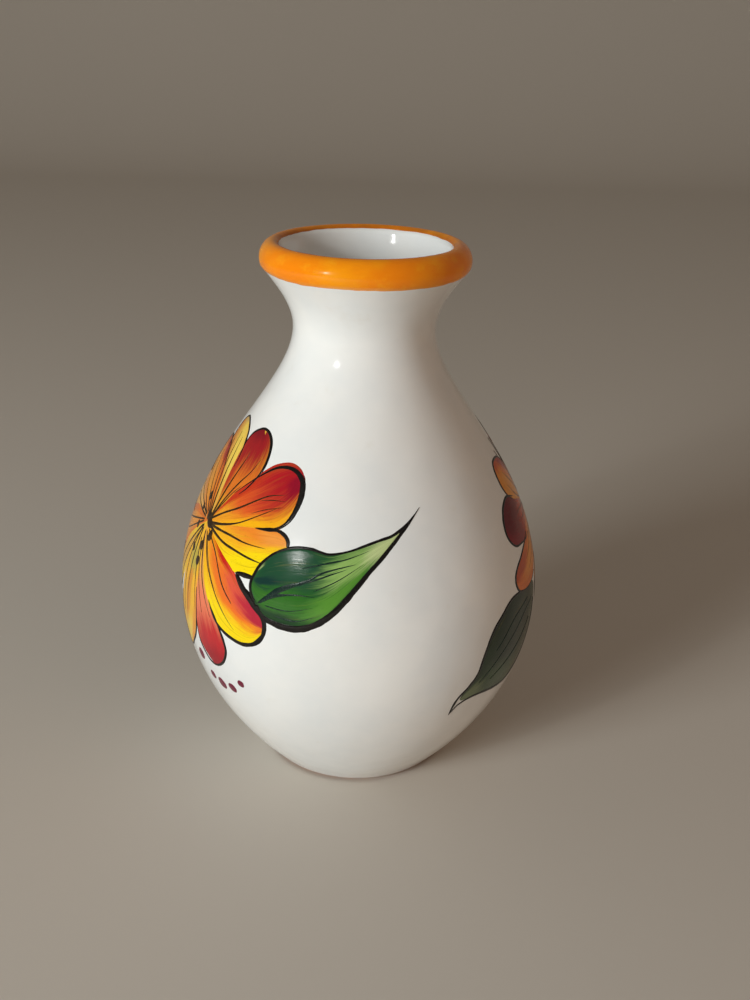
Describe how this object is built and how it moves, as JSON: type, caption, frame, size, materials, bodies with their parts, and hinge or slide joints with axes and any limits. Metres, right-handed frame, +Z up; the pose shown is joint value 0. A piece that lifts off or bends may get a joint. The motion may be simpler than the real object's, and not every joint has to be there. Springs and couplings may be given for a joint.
{
  "type": "talavera pottery vase",
  "caption": "Pear-shaped glazed pottery vase with a narrow neck, a flared mouth with a rolled orange lip, and painted flowers and leaves round its body.",
  "frame": {"origin": "middle of the foot ring's underside, on the surface that the vase stands on", "axes": "+Z up along the pot's turning axis; -Y faces the stretch between the two flowers, with the left flower towards -X and the right flower towards +X"},
  "size_m": [0.122, 0.122, 0.18],
  "materials": {
    "clay": "bare fired earthenware, fine matt grain, seen only on the foot",
    "white_glaze": "thick glossy tin-white glaze with faint waves and pinholes",
    "orange_glaze": "glossy orange glaze brushed over the lip, thinner and lighter along its edges",
    "petal_yellow": "brushed yellow shading to gold under a clear gloss",
    "petal_orange": "brushed orange shading to yellow under a clear gloss",
    "petal_red": "brushed crimson shading to orange under a clear gloss",
    "leaf_green": "brushed green, dark at the root and light at the tip, under a clear gloss",
    "flower_eye": "dark olive-brown brush paint where the petals meet, glossy",
    "brush_black": "brushed black lines, slightly raised, glossy",
    "dot_maroon": "small brushed dots of maroon, glossy"
  },
  "bodies": {
    "root": {"clay_body": "clay", "outer_glaze": "white_glaze", "rim_glaze": "orange_glaze", "inner_glaze": "white_glaze", "left_flower_eye": "flower_eye", "left_flower_petal_1": "petal_red", "left_flower_petal_2": "petal_orange", "left_flower_petal_3": "petal_orange", "left_flower_petal_4": "petal_yellow", "left_flower_petal_5": "petal_yellow", "left_flower_petal_6": "petal_orange", "left_flower_petal_7": "petal_yellow", "left_flower_petal_8": "petal_yellow", "left_flower_petal_9": "petal_red", "left_flower_petal_10": "petal_orange", "left_flower_petal_11": "petal_yellow", "left_flower_leaf_1": "leaf_green", "left_flower_leaf_2": "leaf_green", "left_flower_outlines": "brush_black", "left_flower_dot_1": "dot_maroon", "left_flower_dot_2": "dot_maroon", "left_flower_dot_3": "dot_maroon", "left_flower_dot_4": "dot_maroon", "left_flower_dot_5": "dot_maroon", "right_flower_eye": "flower_eye", "right_flower_petal_1": "petal_red", "right_flower_petal_2": "petal_orange", "right_flower_petal_3": "petal_orange", "right_flower_petal_4": "petal_yellow", "right_flower_petal_5": "petal_yellow", "right_flower_petal_6": "petal_orange", "right_flower_petal_7": "petal_yellow", "right_flower_petal_8": "petal_yellow", "right_flower_petal_9": "petal_red", "right_flower_petal_10": "petal_red", "right_flower_petal_11": "petal_yellow", "right_flower_leaf_1": "leaf_green", "right_flower_leaf_2": "leaf_green", "right_flower_outlines": "brush_black", "right_flower_dot_1": "dot_maroon", "right_flower_dot_2": "dot_maroon", "right_flower_dot_3": "dot_maroon", "right_flower_dot_4": "dot_maroon", "right_flower_dot_5": "dot_maroon"}
  },
  "joints": []
}
